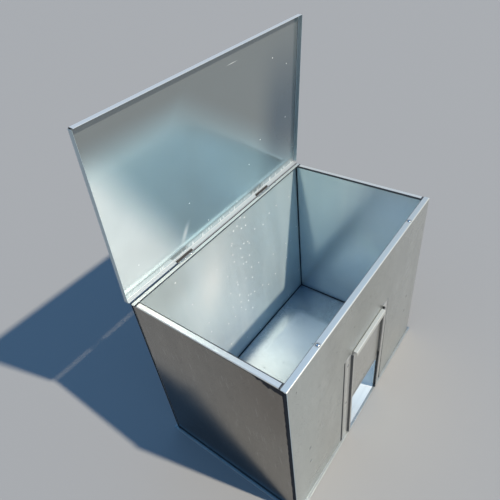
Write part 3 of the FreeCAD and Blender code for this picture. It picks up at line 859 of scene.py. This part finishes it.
class BUNKER_OT_rivets(bpy.types.Operator):
    """Set the domed rivets and studs"""

    bl_idname = "bunker.rivets"
    bl_label = "Rivets"

    def execute(self, context):
        tree = self.tree(context.scene.bunker_fixing, self.steel())
        leaves = [f"hinge_{side}_lid_rivets" for side in SIDES]
        for name, seats, body, nodes in (
                ("rivets_box", self.box_seats(), "box", self.box_nodes()),
                ("rivets_lid", self.lid_seats(), "lid", leaves),
                ("rivet_gate", self.gate_seats(), "gate", ["gate_stop_rivet"])):
            tree.grow(name, self.seeds(seats), body, "rivet_steel", nodes)
        return {"FINISHED"}

    @staticmethod
    def steel():
        """Bright steel of the rivets, a little worn."""
        f = Finish("rivet_zinc")
        worn = f.noise(f.place, scale=900.0, detail=2.0)
        return f.surface(f.tint(worn, *RIVET_STEEL), rough=0.16 + worn * 0.12, metallic=0.95)

    @staticmethod
    def tree(fixing, steel):
        """Domed head with a hollow at its middle, on every point of the starting mesh."""
        t = Shaper("rivet_heads", {"Recess": fixing.recess, "Facets": fixing.facets})
        links = {"Vertices": t.given["Facets"], "Side Segments": 1, "Fill Segments": 6,
                 "Radius": 1.0, "Depth": 1.0}
        disc = t.node("GeometryNodeMeshCylinder", {"fill_type": "NGON"}, links)
        top = Wire(t, disc.socket.node.outputs["Top"])
        x, y, _ = t.parts(t.node("GeometryNodeInputPosition"))
        radius = (x * x + y * y) ** 0.5
        dome = DOME_EDGE + (1.0 - DOME_EDGE) * (1.0 - radius * radius).most(0.0) ** 0.5
        hollow = radius.under(t.given["Recess"])
        height = dome * (1.0 - hollow) + DOME_HOLLOW * hollow
        raised = t.node("ShaderNodeCombineXYZ", links={0: x, 1: y, 2: height})
        links = {0: disc, "Selection": top, "Position": raised}
        head = t.node("GeometryNodeSetPosition", links=links)
        way, size = (t.node("GeometryNodeInputNamedAttribute", {"data_type": "FLOAT_VECTOR"},
                            {"Name": name}) for name in ("way", "size"))
        turn = t.node("FunctionNodeAlignRotationToVector", {"axis": "Z"}, {"Vector": way})
        links = {"Points": t.given["Geometry"], "Instance": head, "Rotation": turn, "Scale": size}
        t.close(t.node("GeometryNodeInstanceOnPoints", links=links), steel)
        return t

    @staticmethod
    def seeds(seats):
        """Mesh of one point for each head: its place, the way it faces, its radius and height."""
        mesh = bpy.data.meshes.new("seats")
        mesh.from_pydata([place for place, *_ in seats], [], [])
        way = mesh.attributes.new("way", "FLOAT_VECTOR", "POINT")
        size = mesh.attributes.new("size", "FLOAT_VECTOR", "POINT")
        for i, (_, facing, radius, height) in enumerate(seats):
            way.data[i].vector = facing
            size.data[i].vector = (radius, radius, height)
        return mesh

    @staticmethod
    def through(a, b, x, z, head):
        """Both ends of a rivet through the front, its head outside."""
        return [((x, a.y + head[1], z), FRONT, *head), ((x, b.y - TAIL[1], z), -FRONT, *TAIL)]

    @staticmethod
    def upright(a, b, x, head):
        """Both ends of a rivet through the rim, its head on top."""
        y = (a.y + b.y) / 2
        return [((x, y, b.z - head[1]), UP, *head), ((x, y, a.z + TAIL[1]), -UP, *TAIL)]

    @staticmethod
    def leaf_places(a, b):
        """The x of the three rivets of a hinge leaf."""
        return a.x + HEAD[0], a.x + HEAD[0] + HINGE_PITCH, b.x - HEAD[0]

    @staticmethod
    def box_nodes():
        """Nodes that the rivets and studs of the box stand for."""
        nodes = ["rim_rivets_back"]
        for side in SIDES:
            nodes += [f"guide_rail_rivets_{side}", f"front_strap_rivets_{side}",
                      f"rim_buffer_{side}", f"hinge_{side}_rim_rivets"]
        return nodes

    def box_seats(self):
        """Seats of the rivets and studs that ride on the box."""
        seats = []
        for side in SIDES:
            for kind in ("guide_rail_rivets", "front_strap_rivets"):
                a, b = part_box(f"{kind}_{side}")
                for z in (a.z + HEAD[0], b.z - HEAD[0]):
                    seats += self.through(a, b, (a.x + b.x) / 2, z, HEAD)
            a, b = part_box(f"rim_buffer_{side}")
            seats += self.upright(a, b, (a.x + b.x) / 2, STUD)
            a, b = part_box(f"hinge_{side}_rim_rivets")
            for x in self.leaf_places(a, b):
                seats += self.upright(a, b, x, HEAD)
        a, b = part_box("rim_rivets_back")
        for x in (a.x + TAIL[0], b.x - TAIL[0]):
            seats += self.upright(a, b, x, TAIL)
        return seats

    def lid_seats(self):
        """Seats of the lid's rivets, turned with the lid."""
        turn = Matrix.Rotation(-LID_OPEN, 3, "X")
        way = turn @ -FRONT
        seats = []
        for side in SIDES:
            pin = middle(f"hinge_{side}_pin")
            for x in self.leaf_places(*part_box(f"hinge_{side}_lid_rivets")):
                seat = Vector((x, pin.y, pin.z)) + turn @ LID_SEAT
                seats += [(seat, way, *HEAD), (seat - way * LID_GRIP, -way, *LID_TAIL)]
        return seats

    def gate_seats(self):
        """Seats of the gate's stop rivet."""
        a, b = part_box("gate_stop_rivet")
        return self.through(a, b, (a.x + b.x) / 2, (a.z + b.z) / 2, STOP)


class BUNKER_OT_sealant(bpy.types.Operator):
    """Run the beads of sealant in the inner corners"""

    bl_idname = "bunker.sealant"
    bl_label = "Sealant"

    def execute(self, context):
        tree = self.tree(context.scene.bunker_fixing, self.mastic())
        tree.grow("sealant", self.corner_lines(), "box", "galvanised_sheet")
        return {"FINISHED"}

    @staticmethod
    def mastic():
        """Black mastic, its shade and gloss a little uneven."""
        f = Finish("mastic")
        uneven = f.noise(f.place, scale=240.0, detail=3.0)
        rough = 0.6 + uneven * 0.2
        return f.surface(f.tint(uneven, *MASTIC), rough, metallic=0.0, fixed=MATT)

    @staticmethod
    def tree(fixing, mastic):
        """Uneven bead along the edges of the starting mesh."""
        t = Shaper("sealant_bead", {"Radius": fixing.bead, "Unevenness": BEAD_UNEVEN})
        path = t.node("GeometryNodeMeshToCurve", links={0: t.given["Geometry"]})
        path = t.node("GeometryNodeResampleCurve", {"mode": "LENGTH"},
                      {0: path, "Length": BEAD_STEP})
        ring = t.node("GeometryNodeCurvePrimitiveCircle",
                      links={"Resolution": 6, "Radius": t.given["Radius"]})
        bead = t.node("GeometryNodeCurveToMesh",
                      links={"Curve": path, "Profile Curve": ring, "Fill Caps": True})
        blur = t.node("ShaderNodeTexNoise", links={"Scale": 60.0}, out="Color")
        shift = t.node("ShaderNodeVectorMath", {"operation": "SUBTRACT"},
                       {0: blur, 1: (0.5, 0.5, 0.5)})
        shift = t.node("ShaderNodeVectorMath", {"operation": "SCALE"},
                       {0: shift, "Scale": t.given["Unevenness"]})
        t.close(t.node("GeometryNodeSetPosition", links={0: bead, "Offset": shift}), mastic)
        return t

    @staticmethod
    def corner_lines():
        """Mesh of the box's inner corners, without the stretch behind the hatch."""
        x, y, z = INNER_X - BEAD_INSET, INNER_Y - BEAD_INSET, SHEET + BEAD_INSET
        corners = [(-x, -y, z), (x, -y, z), (x, y, z), (-x, y, z)]
        tops = [(a, b, BEAD_TOP) for a, b, _ in corners]
        stops = [(-BEAD_HATCH, -y, z), (BEAD_HATCH, -y, z)]
        mesh = bpy.data.meshes.new("corner_lines")
        mesh.from_pydata(corners + tops + stops,
                         [(0, 8), (9, 1), (1, 2), (2, 3), (3, 0),
                          (0, 4), (1, 5), (2, 6), (3, 7)], [])
        return mesh


class BUNKER_OT_stage(bpy.types.Operator):
    """Set up the studio floor, lamps and camera"""

    bl_idname = "bunker.stage"
    bl_label = "Studio"

    def execute(self, context):
        stage = context.scene.bunker_stage
        self.make_floor(stage)
        self.make_fill(context.scene, stage)
        self.make_key(stage)
        self.make_camera(context.scene)
        return {"FINISHED"}

    @staticmethod
    def make_floor(stage):
        """Wide floor, just below the base."""
        mesh = bpy.data.meshes.new("studio_floor")
        reach = STUDIO_REACH
        corners = [(-reach, -reach, 0), (reach, -reach, 0), (reach, reach, 0), (-reach, reach, 0)]
        mesh.from_pydata(corners, [], [(0, 1, 2, 3)])
        floor = bpy.data.objects.new("studio_floor", mesh)
        floor.location.z = -STUDIO_SINK
        bpy.context.collection.objects.link(floor)
        f = Finish("studio_floor")
        mesh.materials.append(f.surface(tuple(stage.floor), rough=0.9, metallic=0.0))

    @staticmethod
    def make_fill(scene, stage):
        """Sky: a pale band low down, then a soft fill that grows blue overhead."""
        world = bpy.data.worlds.new("studio")
        world.use_nodes = True
        scene.world = world
        web = Web(world.node_tree)
        _, _, height = web.parts(web.node("ShaderNodeTexCoord", out="Generated"))
        shade = web.tint(web.ramp(height, *BACKDROP_BAND),
                         tuple(stage.backdrop), tuple(stage.horizon))
        shade = web.tint(web.ramp(height, *ZENITH_BAND), shade, tuple(stage.zenith))
        light = web.node("ShaderNodeBackground", links={"Color": shade, "Strength": stage.fill})
        end = web.tree.nodes.new("ShaderNodeOutputWorld")
        web.tree.links.new(light.socket, end.inputs["Surface"])

    @staticmethod
    def make_key(stage):
        """Warm sun from the front, a little to the right."""
        lamp = bpy.data.lights.new("key", "SUN")
        lamp.energy = stage.key
        lamp.angle = stage.key_size
        lamp.color = KEY_COLOUR
        key = bpy.data.objects.new("key", lamp)
        key.rotation_euler = KEY_FROM.to_track_quat("Z", "Y").to_euler()
        bpy.context.collection.objects.link(key)

    @staticmethod
    def make_camera(scene):
        """Camera at a standing person's eye level, by the front left corner."""
        lens = bpy.data.cameras.new("camera")
        lens.sensor_width = SENSOR_WIDTH
        lens.lens = FOCAL_LENGTH
        lens.shift_x, lens.shift_y = LENS_SHIFT
        camera = bpy.data.objects.new("camera", lens)
        camera.location = CAMERA_PLACE
        camera.rotation_euler = [math.radians(angle) for angle in CAMERA_TURN]
        bpy.context.collection.objects.link(camera)
        scene.camera = camera


class BUNKER_PT_panel(bpy.types.Panel):
    """One button for each operator, then their settings"""

    bl_label = "Coal bunker"
    bl_space_type = "VIEW_3D"
    bl_region_type = "UI"
    bl_category = "Bunker"

    def draw(self, context):
        for operator in OPERATORS:
            self.layout.operator(operator.bl_idname)
        for name in GROUPS:
            group = getattr(context.scene, name)
            for label in group.__annotations__:
                self.layout.prop(group, label)


OPERATORS = (BUNKER_OT_box, BUNKER_OT_lid, BUNKER_OT_hatch, BUNKER_OT_hinges,
             BUNKER_OT_rivets, BUNKER_OT_sealant, BUNKER_OT_stage)
GROUPS = {"bunker_sheet": SheetSettings, "bunker_fixing": FixingSettings,
          "bunker_stage": StageSettings}


def register():
    for name, group in GROUPS.items():
        bpy.utils.register_class(group)
        setattr(bpy.types.Scene, name, PointerProperty(type=group))
    for cls in (*OPERATORS, BUNKER_PT_panel):
        bpy.utils.register_class(cls)


def unregister():
    for cls in (BUNKER_PT_panel, *reversed(OPERATORS)):
        bpy.utils.unregister_class(cls)
    for name, group in GROUPS.items():
        delattr(bpy.types.Scene, name)
        bpy.utils.unregister_class(group)


def main():
    register()
    bpy.context.scene.view_settings.view_transform = "Standard"
    for operator in OPERATORS:
        group, name = operator.bl_idname.split(".")
        getattr(getattr(bpy.ops, group), name)()


if __name__ == "__main__":
    main()
